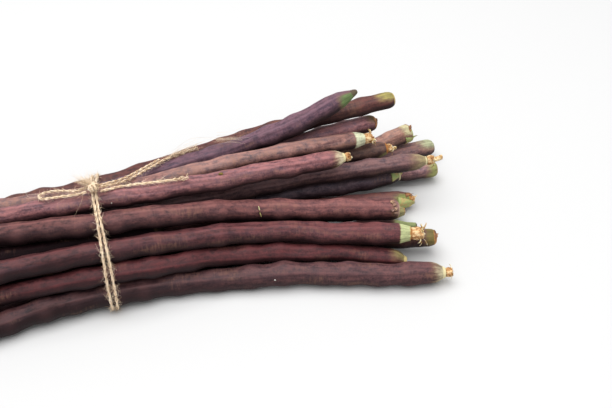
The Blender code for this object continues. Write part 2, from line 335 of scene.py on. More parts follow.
def jute():
    """Straw-coloured jute: every yarn has its own tone, with darker flecks along it."""
    made, shade, finish = new_material("jute_twine", Specular_IOR_Level=0.25)
    tone = shade.attribute("fibre")
    place = shade.add("TexCoord", out=3)
    fleck = place.noise(1100, 3, 0.6)
    broad = place.noise(150, 2)
    stops = [(0, paint(176, 146, 116)), (0.35, paint(220, 196, 166)), (1, paint(246, 234, 214))]
    colour = shade.add("ValToRGB", {"stops": stops}, {0: tone * 0.8 + (broad - 0.4) * 0.6})
    colour = colour.mixed(paint(112, 80, 52), fleck.step(0.52, 0.68) * 0.6)
    grain = place.noise(2400, 2, 0.6)
    relief = shade.add("Bump", None, {"Strength": 0.5, "Distance": 0.00012, "Height": grain})
    finish(Base_Color=colour, Roughness=0.8 + 0.12 * broad, Normal=relief)
    return made


cord_jute = jute()

# The bow loop lies flat on the pods, and both its ends go into the knot.
loop_line = smooth_route(np.array(BOW_LOOP) * MM, TWINE_STEP)
loop_fibres = laid_yarns(loop_line, (0, 0, 1)) + hairs(loop_line, 0.25 * MM, 4 * MM)
bow_loop = piece_of("bow_loop_twine", fibre_mesh("bow_loop_twine", loop_fibres), cord_jute)
loop_wisps = [
    stray([(39, 13.5, 39.6), (36, 13.5, 40.2), (33, 15.0, 39.8), (31.5, 16.5, 40.2)]),
    stray([(39, 11.0, 40.4), (36.5, 11.5, 40.4), (34, 11.2, 40.2), (31.8, 12.0, 40.6)]),
    stray([(38.5, 9.0, 41.6), (36, 10.0, 41.2), (33.5, 12.5, 40.2), (31, 18.0, 40.4)]),
    stray([(57, 2.0, 46.0), (56, -1.0, 44.4), (53.5, -3.5, 41.6), (51.5, -5.0, 39.2)]),
    stray([(52, 4.0, 45.0), (50, 1.8, 45.0), (46, 0.2, 44.2)]),
]
loop_hairs = piece_of("bow_loop_wisps", fibre_mesh("bow_loop_wisps", loop_wisps, 0), cord_jute)
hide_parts("bow_loop")

# The long tail is doubled back beside itself for most of its length, and its end is combed out.
# A few fibres spring off it in a flat arch.
STRAND_GAP = 1.85 * MM  # from one strand of the doubled part to the other
DOUBLED_SHARE = 0.68  # of the tail's length
long_line = smooth_route(np.array(LONG_TAIL) * MM, TWINE_STEP)
beside = unit(np.cross((0, 0, 1.0), directions(long_line))) * STRAND_GAP
doubled = (long_line + beside)[: int(DOUBLED_SHARE * len(long_line))]
long_fibres = laid_yarns(long_line, (0, 0, 1), fray=18 * MM) + hairs(long_line, 0.2 * MM, 5 * MM)
long_fibres += laid_yarns(doubled, (0, 0, 1))
tail_long = piece_of("long_tail_twine", fibre_mesh("long_tail_twine", long_fibres), cord_jute)
# the fibres of the arch, the highest first
long_wisps = [
    stray([(92, 26, 38), (100, 28.5, 41), (108, 28, 45.6), (121, 22, 48.2), (130, 21.5, 46.4)]),
    stray([(96, 28, 38), (104, 28.5, 42), (112, 26, 46.0), (122, 23.2, 46.6), (129, 22, 45.4)]),
    stray([(104, 30, 38), (110, 29, 41), (117, 26, 44.4), (127, 22.5, 45.6)]),
]
for _ in range(16):
    drift = chance.normal(size=3) * (1.4, 0.9, 0.9)
    tuft = [(118, 24.6, 45.4) + drift, (123.5, 23, 46) + drift, (129, 22.6, 45.4) + 1.5 * drift]
    long_wisps.append(stray(tuft))
    drift = chance.normal(size=3) * (1.5, 1.2, 0.8)
    combed = [(97, 28, 38), (104, 29.6, 38.6) + drift, (111, 31, 39) + 1.6 * drift]
    long_wisps.append(stray(combed))
long_hairs = piece_of("long_tail_wisps", fibre_mesh("long_tail_wisps", long_wisps, 0), cord_jute)
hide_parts("tail_long")

# The short tail lies almost straight on one pod, and only its last few millimetres are frayed.
short_line = smooth_route(np.array(SHORT_TAIL) * MM, TWINE_STEP)
short_fibres = laid_yarns(short_line, (0, 0, 1), fray=7 * MM) + hairs(short_line, 0.25 * MM, 3.5 * MM)
tail_short = piece_of("short_tail_twine", fibre_mesh("short_tail_twine", short_fibres), cord_jute)
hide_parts("tail_short")


# ---------------- pods
# A pod is a long fleshy tube. It swells a little over each seed, has a seam on both sides, and
# ends in a thin beak at one end and a blunt stem end, where it was picked, at the other.
POD_SIDES = 40
POD_STEP = 1.1 * MM
SEAM = 0.20 * MM  # how far a seam stands out
SEED = 1.15 * MM  # how far a seed lifts the skin
SEED_REACH = 4.4 * MM  # how far along the pod it does so, on each side
WANDER = 0.16 * MM  # how far the pod sways off its middle line
SLOW_LUMP, FINE_LUMP = 0.34 * MM, 0.09 * MM
BEAK = 0.9 * MM  # radius of the tip
BEAK_LENGTH = 75 * MM  # over which the pod thins to it
TIP_ROUND = 0.6 * MM  # of that, the rounded end
END_RINGS = (0, 0.12, 0.3, 0.55, 0.9, 1.4, 2.0, 2.8, 3.7, 4.7, 5.8)  # mm from the stem end
EVEN_FROM = 6.8 * MM  # from here on, the rings are a step apart
PACKED_SIDES = 8  # of a pod's and a calyx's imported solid

# The outline of a stem end: (distance from the end in mm, share of the pod's radius).
ENDS = {
    "blunt": ((0, 0.30), (0.25, 0.55), (0.8, 0.74), (1.8, 0.88), (3.5, 0.97), (7, 1.0)),
    "necked": ((0, 0.34), (0.3, 0.46), (1.2, 0.52), (2.4, 0.66), (4.2, 0.86), (7, 0.97), (11, 1)),
    "ringed": ((0, 0.50), (0.2, 0.66), (0.9, 0.70), (2.4, 0.78), (4.0, 0.9), (6, 0.98), (9, 1.0)),
    "tapered": ((0, 0.16), (0.4, 0.26), (2, 0.31), (4.5, 0.40), (8, 0.62), (12, 0.84), (18, 1.0)),
    "beaked": ((0, 0.12), (0.4, 0.22), (1.2, 0.30), (3, 0.42), (5.5, 0.64), (9, 0.88), (14, 1.0)),
    "flared": ((0, 0.62), (0.3, 0.84), (1.2, 1.02), (3, 1.08), (6, 1.05), (10, 1.0)),
}

# How a pod looks: its skin as a paint colour, the kind of its stem end, the colour of that end
# with its length in mm, how softly it starts (mm), on which side it is (degrees, or None for all
# round), where the seam is (degrees; 90 is the top and 180 the front), and the colour and length
# of the scar at the very end. Then come how much grey its top has, partly waxy bloom and partly
# painted sheen, how much painted shade darkens it towards the tip, how far the stem end is off
# the middle (shares of the pod's radius), and how much painted shade darkens its underside.
Look = namedtuple(
    "Look",
    "skin end tint long soft side seam rim scar cool deep lean under",
    defaults=(0.3, 0.15, 0, 0.9),
)
CREAM, RUST, BARK, UMBER = (214, 204, 160), (170, 112, 54), (112, 84, 58), (74, 54, 44)
# the pods inside the bunch, which hardly show; their near-black skin, ends and scars are painted shade
FILLER = Look((24, 13, 16), "blunt", (40, 30, 26), 4, 3, None, 40, (48, 34, 28), 1.0)

LOOKS = {
    "pod_01": Look(
        (77, 53, 55), "necked", (204, 194, 160), 4.5, 8, None, 118, CREAM, 1.5, 0.2, 1.0, under=0.45
    ),
    "pod_02": Look((74, 48, 50), "blunt", (132, 118, 64), 5, 4, 120, 60, (186, 132, 66), 1.4),
    "pod_03": Look((67, 43, 45), "tapered", (164, 176, 118), 11, 6, None, 80, UMBER, 0.6, 0.2, 0.1, -0.5),
    "pod_04": FILLER,
    "pod_05": Look((96, 64, 62), "ringed", (146, 156, 88), 8, 7, 170, 60, RUST, 1.0),
    "pod_06": Look((132, 104, 106), "blunt", (162, 166, 100), 5, 6, None, 120, RUST, 0.6),
    "pod_07": Look((120, 93, 92), "blunt", (182, 188, 150), 7.5, 12, 70, 110, BARK, 0.3),
    "pod_08": Look(
        (73, 38, 41), "necked", (150, 138, 92), 6, 9, 60, 140, (196, 178, 122), 1.6, 0.1, 0.4, -0.5
    ),
    "pod_09": FILLER._replace(seam=50),
    "pod_10": Look((75, 48, 48), "necked", (176, 168, 116), 6, 4, None, 70, RUST, 0.5),
    "pod_11": Look((76, 64, 71), "ringed", (184, 188, 136), 5, 4, 90, 95, CREAM, 1.2),
    "pod_12": FILLER._replace(seam=130),
    "pod_13": Look((86, 66, 60), "ringed", (166, 164, 108), 5, 6, 260, 100, RUST, 1.0),
    "pod_14": Look((134, 104, 94), "flared", (216, 208, 164), 5, 5, 80, 120, (150, 160, 96), 1.0),
    "pod_15": Look((85, 50, 52), "ringed", (208, 216, 160), 5.2, 1.0, None, 92, RUST, 0.6, 0.3, 0.85),
    "pod_16": FILLER._replace(seam=100),
    "pod_17": Look((94, 72, 73), "necked", (178, 162, 120), 6.5, 10, None, 150, CREAM, 1.0),
    "pod_18": Look((128, 92, 95), "blunt", (114, 98, 62), 4.5, 6, 60, 105, (128, 96, 70), 1.3, 0.4),
    "pod_19": Look(
        (87, 66, 77), "beaked", (108, 134, 80), 9.5, 5, 200, 120, (84, 70, 54), 3.0, 0.2, 0.6, -0.2
    ),
    "pod_20": Look((79, 49, 46), "blunt", (170, 160, 92), 8, 9, 60, 130, (190, 166, 104), 1.0),
    "pod_21": Look(
        (101, 68, 68), "blunt", (154, 116, 112), 3.0, 4, 110, 95, (176, 150, 124), 1.0, 0.1, 0.8
    ),
    "pod_22": Look((116, 81, 83), "necked", (230, 220, 184), 5.0, 8, None, 108, CREAM, 1.5),
    "pod_23": Look((120, 92, 87), "ringed", (238, 242, 206), 6, 0.9, None, 84, RUST, 0.5),
}


def packed_points(node):
    """The corners of a node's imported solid, each of them once."""
    merged = bmesh.new()
    merged.from_mesh(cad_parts[node].data)
    bmesh.ops.remove_doubles(merged, verts=merged.verts, dist=0.001 * MM)
    points = np.array([tuple(vert.co) for vert in merged.verts])
    merged.free()
    return points


def ring_middles(node):
    """The middle of every ring of a pod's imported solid, from tip to stem end, and its radius."""
    points = np.array(sorted(packed_points(node).tolist()))
    rings = np.split(points, np.nonzero(np.diff(points[:, 0]) > 1.2 * MM)[0] + 1)
    middles = [(ring.min(0) + ring.max(0)) / 2 for ring in rings[:-1]]
    wide = max(np.ptp(ring[:, 1]) for ring in rings[1:-1]) / 2 / math.cos(math.pi / PACKED_SIDES)
    ahead = unit(rings[-1].mean(0) - middles[-1])
    for _ in range(3):
        cap = rings[-1][np.argsort(rings[-1] @ ahead)[-PACKED_SIDES:]].mean(0)
        ahead = unit(cap - rings[-1].mean(0))
    return np.array([*middles, cap]), wide


def seeds(length, number):
    """Where the seeds are, from the stem end, and how much each one lifts either cheek."""
    own = np.random.default_rng(100 + number)
    places = np.cumsum(own.uniform(11.5, 17, 60)) * MM
    places = places[places < length - 45 * MM]
    lift = own.uniform(0.2, 1.0, (2, len(places))) * (own.random(len(places)) > 0.12)
    return places, lift[0], lift[1]


def upright_edges(bm):
    """The edges of a new tube that run along it. The rest of a model is far smaller than these."""
    return [edge for edge in bm.edges if abs(edge.verts[0].co.z - edge.verts[1].co.z) > 0.5]


def smooth_mesh(bm, name):
    """Ends the modelling of a shape, and gives its mesh with smooth faces."""
    mesh = bpy.data.meshes.new(name)
    bm.to_mesh(mesh)
    bm.free()
    mesh.shade_smooth()
    return mesh


def tube(rings):
    """A closed tube with its rings one above the other, to be bent into shape."""
    bm = bmesh.new()
    bmesh.ops.create_cone(
        bm, cap_ends=True, segments=POD_SIDES, radius1=1, radius2=1, depth=rings - 1
    )
    bmesh.ops.subdivide_edges(bm, edges=upright_edges(bm), cuts=rings - 2)
    caps = [face for face in bm.faces if len(face.verts) == POD_SIDES]
    bmesh.ops.poke(bm, faces=caps)
    bmesh.ops.recalc_face_normals(bm, faces=bm.faces)
    return smooth_mesh(bm, "tube")


def make_pod(name, look, number):
    """The mesh of one pod, with what its material needs to know stored at every point."""
    own = np.random.default_rng(number)
    middles, wide = ring_middles(name)
    line = smooth_route(middles, 0.25 * MM)[::-1]
    far = along(line)
    length = far[-1]
    even = np.linspace(EVEN_FROM, length, round((length - EVEN_FROM) / POD_STEP))
    from_end = np.concatenate([np.array(END_RINGS) * MM, even])
    rings = len(from_end)
    mesh = tube(rings)
    co = np.empty(len(mesh.vertices) * 3)
    mesh.vertices.foreach_get("co", co)
    co = co.reshape(-1, 3)
    level = np.clip(np.rint(co[:, 2] + (rings - 1) / 2), 0, rings - 1).astype(int)
    inside = np.hypot(co[:, 0], co[:, 1]) < 0.5
    turn = np.arctan2(co[:, 1], co[:, 0])

    # the middle line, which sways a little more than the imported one
    at = from_end[level]
    middle = np.stack([np.interp(at, far, line[:, axis]) for axis in range(3)], axis=1)
    ahead = -directions(line)
    smooth = np.stack([np.interp(at, far, ahead[:, axis]) for axis in range(3)], axis=1)
    side = unit(np.cross([0, 0, 1.0], smooth))
    up = np.cross(smooth, side)
    free = np.clip(at / (30 * MM), 0, 1) * WANDER
    sway = np.sin(at / (4.7 * MM) + number * 2) + np.sin(at / (8.3 * MM) + number * 5)
    bob = np.sin(at / (5.3 * MM) + number * 3) + np.sin(at / (9.1 * MM) + number * 4)
    middle = middle + side * (free * sway)[:, None] + up * (free * bob)[:, None]

    # the seam wanders a little round the pod
    twist = 0.25 * np.sin(at / (90 * MM) + number) + 0.1 * np.sin(at / (31 * MM))
    angle = turn + math.radians(look.seam) + twist
    seam_off = np.minimum(np.abs(turn), math.pi - np.abs(turn))

    # outline along the pod
    from_tip = length - at
    tip = np.clip(from_tip / BEAK_LENGTH, 0, 1)
    body = BEAK + (wide - BEAK) * np.sin(tip * math.pi / 2) ** 0.8
    outline = np.array(ENDS[look.end])
    share = np.interp(at / MM, outline[:, 0], outline[:, 1])
    radius = body * share * np.sqrt(np.clip(from_tip / TIP_ROUND, 0, 1))

    # seeds that lift both cheeks, a slightly oval section, the seam's ridge with a groove on either
    # side of it, and slow and fine lumps
    places, front, back = seeds(length, number)
    bump = np.exp(-(((at[:, None] - places) / SEED_REACH) ** 2))
    turned = (0.5 + 0.5 * np.sin(turn))[:, None]
    swell = (bump * (front * turned + back * (1 - turned))).sum(1)
    full = np.clip(at / (20 * MM), 0, 1) * np.clip(from_tip / (50 * MM), 0, 1)
    cheek = np.sin(turn) ** 2
    radius = radius + SEED * (swell - 0.42) * (0.4 + 0.6 * cheek) * full
    radius = radius + 0.012 * wide * np.cos(2 * turn + own.uniform(0, 6)) * full
    ridge = np.exp(-((seam_off / 0.16) ** 2)) - 0.6 * np.exp(-(((seam_off - 0.42) / 0.2) ** 2))
    radius = radius + SEAM * ridge * np.clip(at / (12 * MM), 0.15, 1) * tip
    slow, fine = [], []
    for along_it, cos, sin in zip(at, np.cos(turn), np.sin(turn)):
        slow.append(noise.noise((along_it * 60 + number * 7.3, cos, sin)))
        fine.append(noise.noise((along_it * 420 + number, cos * 1.6, sin * 1.6)))
    lumps = SLOW_LUMP * np.array(slow) + FINE_LUMP * np.array(fine)
    radius = radius + lumps * np.clip(at / (2 * MM), 0, 1)
    radius = np.where(inside, 0, radius)

    outward = side * np.cos(angle)[:, None] + up * np.sin(angle)[:, None]
    lean = look.lean * (1 - share) * wide
    placed = middle + up * lean[:, None] + outward * radius[:, None]
    placed[:, 2] = np.maximum(placed[:, 2], 0.02 * MM)
    mesh.vertices.foreach_set("co", placed.ravel())
    mesh.flip_normals()  # the bending mirrors the straight tube
    mesh.update()

    # what the skin's material has to know
    straight = np.column_stack([at, np.cos(turn) * wide, np.sin(turn) * wide]) / MM
    mesh.attributes.new("straight", "FLOAT_VECTOR", "POINT").data.foreach_set(
        "vector", straight.ravel().astype(np.float32)
    )
    tinted = 1 - np.clip((at / MM - look.long + look.soft / 2) / look.soft, 0, 1)
    if look.side is not None:
        facing = np.cos(angle - math.radians(look.side))
        tinted = np.clip(tinted * 1.15 * np.clip(0.3 + 1.1 * facing, 0, 1), 0, 1)
    store = {"tint": tinted, "seam": seam_off * wide / MM, "swell": swell, "top": np.sin(angle)}
    for key, values in store.items():
        field = mesh.attributes.new(key, "FLOAT", "POINT")
        field.data.foreach_set("value", np.asarray(values, np.float32))
    return mesh


# colours of painted shade: the first towards the tips, the second on the undersides
FAR_SHADE_PLUM, SHADE_PLUM = paint(30, 5, 9), paint(22, 9, 13)
TAN, ROSE_TAN, FADED = paint(112, 88, 62), paint(148, 104, 92), paint(126, 100, 76)


def pod_skin(name, look, number):
    """Bean skin: mauve over green, with flecks, cross streaks, tan patches and a pale end,
    and painted highlights, a painted sheen and painted shade on it.
    """
    # the inside pods, painted near-black as shade, get almost no shine
    shine = 0.05 if look.skin == FILLER.skin else 0.28
    made, shade, finish = new_material(name, Specular_IOR_Level=shine)
    here = shade.attribute("straight", out=1)
    place = here.shifted(0, number * 31.0, number * 17.0)
    far = here.add("SeparateXYZ", None, {0: here})
    tint = shade.attribute("tint")
    seam = shade.attribute("seam")
    swell = shade.attribute("swell")
    top = shade.attribute("top")
    wide_patch = place.stretch(0.055, 0.16, 0.16).noise(1.0, 3)
    blotch = place.stretch(0.26, 0.5, 0.5).noise(1.0, 4, 0.65)
    streak = place.stretch(1.3, 0.22, 0.22).noise(1.0, 3, 0.6)
    line = place.stretch(0.05, 0.9, 0.9).noise(1.0, 3, 0.55)
    grain = place.stretch(1.5, 1.7, 1.7).noise(1.0, 3, 0.7)

    red, green, blue = look.skin
    dark = paint(red * 0.66, green * 0.57, blue * 0.64)
    middle = paint(red * 0.97, green * 0.92, blue * 0.94)
    light = paint(min(255, red * 1.36), green * 1.30, blue * 1.25)
    grey = paint(red * 0.92, green * 1.22, blue * 1.36)
    mottle = blotch * 0.50 + line * 0.18 + grain * 0.24 + streak * 0.08
    stops = [(0.40, dark), (0.49, middle), (0.59, light)]
    colour = shade.add("ValToRGB", {"stops": stops}, {0: mottle + far.step(150, 0) * 0.02})
    # painted shade: each pod darker away from its stem end, for the shade under the pods above it
    colour = colour.mixed(FAR_SHADE_PLUM, far.step(20, 170) * look.deep)
    # grey on the upper side: partly the skin's waxy bloom, partly a painted sheen where it faces up
    bloom_and_sheen = top.step(0.1, 0.85) * (line * 0.5 + wide_patch * 0.5).step(0.40, 0.58)
    colour = colour.mixed(grey, bloom_and_sheen * look.cool)
    patchy = wide_patch.step(0.54, 0.66) * (blotch * 0.5 + streak * 0.5).step(0.42, 0.58)
    colour = colour.mixed(TAN, patchy * 0.30)
    colour = colour.mixed(ROSE_TAN, (streak * 0.4 + wide_patch * 0.6).step(0.53, 0.66) * 0.16)
    colour = colour.mixed(light, swell.step(0.2, 1.0) * 0.18)
    # the seam line paler: partly its own tone, partly a painted highlight on the ridge
    colour = colour.mixed(light, (seam.step(0.9, 0.1) * line.step(0.35, 0.6)) * 0.35)
    # painted shade in the groove beside the seam
    groove = seam.step(0.6, 1.0) * seam.step(2.0, 1.3)
    colour = colour.mixed(dark, groove * blotch.step(0.36, 0.56) * 0.4)
    # painted highlight: lighter patches where the skin faces up
    colour = colour.mixed(light, top.step(0.5, 1.0) * blotch.step(0.3, 0.6) * 0.4)
    # painted shade on the underside
    colour = colour.mixed(SHADE_PLUM, top.step(0.72, -0.36) * look.under)

    # the stem end: olive where the mauve fades, then the pale tint with darker lines in it
    edge = tint + (blotch - 0.5) * 0.8 + (line - 0.5) * 0.5
    fading = (edge * tint.step(0.0, 0.15)).step(0.0, 0.45)
    colour = colour.mixed(FADED, fading * 0.42)
    stops = [
        (stop, paint(*(part * amount for part in look.tint)))
        for stop, amount in ((0.36, 0.62), (0.50, 0.84), (0.64, 1))
    ]
    pale = shade.add("ValToRGB", {"stops": stops}, {0: line * 0.45 + blotch * 0.35 + grain * 0.2})
    colour = colour.mixed(pale, (edge * tint.step(0.0, 0.2)).step(0.25, 0.95) * 0.9)
    rimmed = (far + (blotch - 0.5) * 1.6).step(look.scar + 0.3, look.scar - 0.3)
    colour = colour.mixed(paint(*look.rim), rimmed * 0.9)
    rough = 0.42 + 0.22 * blotch + 0.12 * streak
    height = streak * 0.3 + grain * 0.5 + line * 0.2 + blotch * 0.6
    relief = shade.add("Bump", None, {"Strength": 0.7, "Distance": 0.00028, "Height": height})
    finish(Base_Color=colour, Roughness=rough, Normal=relief)
    return made


pods = {}
for count, (pod_name, pod_look) in enumerate(LOOKS.items()):
    pod_mesh = make_pod(pod_name, pod_look, count)
    pod = piece_of(pod_name + "_skin", pod_mesh, pod_skin(pod_name + "_skin", pod_look, count))
    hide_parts(pod_name)
    pods[pod_name] = pod


# ---------------- dried calyxes
# What is left of the flower on a stem end: a rust-brown papery cup with torn lobes round a pale
# lumpy core, with curled strips of skin. One still has its stalk. All of it is dry and brittle.
LEAST_HEIGHT = 0.2 * MM  # of dry and torn bits over the table
CUP_PAPER, STRIP_PAPER = 0.24 * MM, 0.16 * MM  # thickness
CORE_LUMPS = 9


def dry_calyx():
    """Dry paper and pith: rust brown, and cream where a point belongs to the core."""
    made, shade, finish = new_material("dry_calyx", Specular_IOR_Level=0.2)
    place = shade.add("TexCoord", out=3)
    core = shade.attribute("core")
    patch = place.noise(520, 3, 0.6)
    grain = place.noise(1800, 2, 0.6)
    browns = [(0.34, paint(122, 80, 48)), (0.46, paint(184, 140, 94)), (0.60, paint(220, 194, 152))]
    creams = [(0.34, paint(176, 140, 84)), (0.46, paint(222, 206, 154)), (0.58, paint(240, 232, 204))]
    rust = shade.add("ValToRGB", {"stops": browns}, {0: patch})
    pale = shade.add("ValToRGB", {"stops": creams}, {0: patch})
    colour = rust.mixed(pale, (core + (grain - 0.5) * 0.8).step(0.3, 0.7))
    colour = colour.mixed(paint(112, 66, 36), grain.step(0.58, 0.70) * 0.5)
    relief = shade.add("Bump", None, {"Strength": 0.7, "Distance": 0.0002, "Height": grain + patch})
    finish(Base_Color=colour, Roughness=0.75 + 0.15 * patch, Normal=relief)
    return made


calyx_paper = dry_calyx()

# For each calyx: how long its cup is, as a share of the whole, how wide it is (mm), how far its
# lumpy core reaches, how many strips of skin curl off it, and the length of a stalk (mm).
Dry = namedtuple("Dry", "cup wide core strips stalk")
DRY = {
    "calyx_01": Dry(0.62, 2.0, 0.75, 2, 0),
    "calyx_05": Dry(0.40, 1.7, 0.45, 4, 0),
    "calyx_13": Dry(0.40, 2.1, 0.95, 2, 0),
    "calyx_15": Dry(0.66, 2.7, 1.05, 14, 0),
    "calyx_17": Dry(0.42, 2.1, 0.40, 3, 5.2),
    "calyx_22": Dry(0.62, 1.9, 0.9, 3, 0),
    "calyx_23": Dry(0.62, 2.4, 0.85, 8, 0),
}


def cap_of(node):
    """The root, the outward direction and the length of a calyx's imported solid."""
    points = packed_points(node)
    ahead = unit(points.mean(0) - np.array(ring_middles(node.replace("calyx", "pod"))[0][-2]))
    for _ in range(4):
        order = np.argsort(points @ ahead)
        root = points[order[:PACKED_SIDES]].mean(0)
        end = points[order[-PACKED_SIDES:]].mean(0)
        ahead = unit(end - root)
    return root, ahead, np.linalg.norm(end - root)


def turn_faces_out(bm):
    """Makes the faces of every closed shell in a model look outwards, however thin and curled."""
    bmesh.ops.recalc_face_normals(bm, faces=bm.faces)
    left = dict.fromkeys(bm.faces)
    while left:
        shell = [left.popitem()[0]]
        for face in shell:
            beside = {other for edge in face.edges for other in edge.link_faces if other in left}
            for other in beside:
                del left[other]
            shell.extend(beside)
        corner = shell[0].verts[0].co.copy()
        volume = 0
        for face in shell:
            first, *others = [vert.co - corner for vert in face.verts]
            volume += sum(first.dot(b.cross(c)) for b, c in zip(others, others[1:]))
        if volume < 0:
            bmesh.ops.reverse_faces(bm, faces=shell)


def put_on(bm, root, ahead):
    """Turns a shape that was made upright along a direction, and sets it on a stem end."""
    side = unit(np.cross([0, 0, 1.0], ahead))
    turned = Matrix(np.column_stack([side, np.cross(ahead, side), ahead]).tolist())
    for vert in bm.verts:
        vert.co = turned @ vert.co + Vector(root)
        vert.co.z = max(vert.co.z, LEAST_HEIGHT)
    turn_faces_out(bm)


def torn_cup(bm, length, wide, number):
    """A crumpled open cup with torn lobes."""
    bmesh.ops.create_cone(bm, cap_ends=False, segments=44, radius1=1, radius2=1, depth=1)
    bmesh.ops.subdivide_edges(bm, edges=upright_edges(bm), cuts=6)
    for vert in bm.verts:
        turn, share = math.atan2(vert.co.y, vert.co.x), vert.co.z + 0.5
        spot = Vector((math.cos(turn) * 2.4 + number * 3, math.sin(turn) * 2.4, share * 1.6))
        crumple = noise.noise(spot) + 0.5 * noise.noise(spot * 2.7)
        lobe = 0.62 + 0.5 * noise.noise(Vector((math.cos(turn) * 3.2, math.sin(turn) * 3.2, number)))
        fold = 0.08 * math.sin(9 * turn + 4 * crumple)
        out = wide * (0.92 + 0.22 * math.sin(share * 2.4) - 0.18 * share + 0.26 * crumple * share + fold)
        high = length * (share * (0.7 + lobe * 0.6) - 0.1)
        vert.co = Vector((math.cos(turn) * out, math.sin(turn) * out, high))
    bmesh.ops.solidify(bm, geom=bm.faces[:], thickness=CUP_PAPER)


def lump(bm, place, size, number, core_layer, tone):
    """One rough lump of the core."""
    for vert in bmesh.ops.create_icosphere(bm, subdivisions=2, radius=1)["verts"]:
        rough = 1 + 0.45 * noise.noise(vert.co * 2.0 + Vector((number * 5.0, 0, 0)))
        vert[core_layer] = tone
        vert.co = Vector(place) + Vector((vert.co.x, vert.co.y, vert.co.z * 1.3)) * size * rough


def curled_strip(bm, start, turn, long, own, core_layer):
    """A thin strip of dry skin that starts on the cup's rim and curls over."""
    made = bmesh.ops.create_grid(bm, x_segments=9, y_segments=2, size=0.5)
    curl, rise, wide = own.uniform(1.0, 3.4), own.uniform(0.4, 1.2), own.uniform(0.9, 2.0) * MM
    tone = own.uniform(0.2, 1.0)
    outward = Vector((math.cos(turn), math.sin(turn), 0))
    across = Vector((-math.sin(turn), math.cos(turn), own.uniform(-0.4, 0.4)))
    for vert in made["verts"]:
        share = vert.co.x + 0.5
        flank = vert.co.y * (1 - 0.6 * share)
        bend = share * curl
        away = outward * (1 - math.cos(bend)) + Vector((0, 0, rise)) * math.sin(bend)
        vert[core_layer] = tone
        vert.co = Vector(start) + away * long / curl + across * flank * wide
    faces = dict.fromkeys(face for vert in made["verts"] for face in vert.link_faces)
    bmesh.ops.solidify(bm, geom=list(faces), thickness=STRIP_PAPER)


def dry_stalk(bm, start, long, core_layer):
    """A thin stalk that bends a little to one side."""
    earlier = len(bm.verts)
    bmesh.ops.create_cone(bm, cap_ends=True, segments=16, radius1=1, radius2=1, depth=1)
    bmesh.ops.subdivide_edges(bm, edges=upright_edges(bm), cuts=8)
    bm.verts.ensure_lookup_table()
    for vert in bm.verts[earlier:]:
        share = vert.co.z + 0.5
        thick = (1.35 - 0.25 * share + 0.25 * noise.noise(vert.co * 2)) * MM
        vert[core_layer] = 0.45
        bend = Vector((0, 0.9 * MM * share * share, start + long * share))
        vert.co = Vector((vert.co.x * thick, vert.co.y * thick, 0)) + bend


def make_calyx(name, number):
    """One whole dried calyx on the stem end that it belongs to."""
    root, ahead, length = cap_of(name)
    dry = DRY[name]
    own = np.random.default_rng(40 + number)
    wide = dry.wide * MM
    bm = bmesh.new()
    core_layer = bm.verts.layers.float.new("core")
    torn_cup(bm, length * dry.cup, wide, number)
    for _ in range(CORE_LUMPS):
        turn, out = own.uniform(0, 2 * math.pi), own.uniform(0, 0.62) * wide
        high = length * dry.core * own.uniform(0.25, 0.85)
        spot = (math.cos(turn) * out, math.sin(turn) * out, high)
        size, kind, tone = wide * own.uniform(0.24, 0.46), own.uniform(0, 9), own.uniform(0.3, 1.2)
        lump(bm, spot, size, kind, core_layer, tone)
    for _ in range(dry.strips):
        turn = own.uniform(0, 2 * math.pi)
        start = (math.cos(turn) * wide * 0.6, math.sin(turn) * wide * 0.6, length * dry.cup * 0.5)
        curled_strip(bm, start, turn, length * own.uniform(0.45, 0.8), own, core_layer)
    if dry.stalk:
        dry_stalk(bm, length * 0.3, dry.stalk * MM, core_layer)
    put_on(bm, root, ahead)
    piece = piece_of(name + "_dry", smooth_mesh(bm, name + "_dry"), calyx_paper)
    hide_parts(name)


for count, calyx_name in enumerate(n for n in sorted(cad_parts) if n.startswith("calyx")):
    make_calyx(calyx_name, count)


# ---------------- torn flesh at the stem ends
# Where a pod was pulled off the plant, a flap of green flesh or a callous rim stays on its end.
# Each is a thin leaf of flesh that hugs the end, with a ragged edge that curls away from it.
FLESH = 0.45 * MM  # thickness


def raw_flesh(name, fresh, dried):
    """Flesh of one colour that dries to another one in patches."""
    made, shade, finish = new_material(name, Specular_IOR_Level=0.3)
    place = shade.add("TexCoord", out=3)
    patch = place.noise(430, 3, 0.6)
    grain = place.noise(1500, 3, 0.6)
    stops = [(0.42, paint(*dried)), (0.56, paint(*fresh))]
    colour = shade.add("ValToRGB", {"stops": stops}, {0: patch})
    colour = colour.mixed(paint(*(0.6 * part for part in dried)), grain.step(0.56, 0.7) * 0.6)
    relief = shade.add("Bump", None, {"Strength": 0.6, "Distance": 0.0002, "Height": grain})
    finish(Base_Color=colour, Roughness=0.55 + 0.2 * patch, Normal=relief)
    return made


green_flesh = raw_flesh("green_flesh", (158, 172, 112), (184, 164, 112))
callous_flesh = raw_flesh("callous_flesh", (158, 112, 74), (104, 72, 52))

# For each flap: the pod, the side it is on (degrees, 90 is the top and 180 the front), how far
# round it goes (degrees), where it starts and ends (mm past the pod's end), how far it curls
# outwards (mm), and its flesh.
FLAPS = (
    ("pod_14", 215, 110, -5.0, 2.6, 0.5, green_flesh),
    ("pod_14", 60, 150, -1.6, 1.4, 0.5, callous_flesh),
    ("pod_11", 120, 130, -5.0, 1.8, -0.4, green_flesh),
    ("pod_05", 175, 115, -6.5, 1.8, 0.7, green_flesh),
    ("pod_05", 60, 120, -2.5, 1.2, 0.4, callous_flesh),
    ("pod_18", 75, 250, -1.4, 0.8, 0.4, callous_flesh),
    ("pod_02", 60, 240, -1.0, 0.7, 0.3, callous_flesh),
)


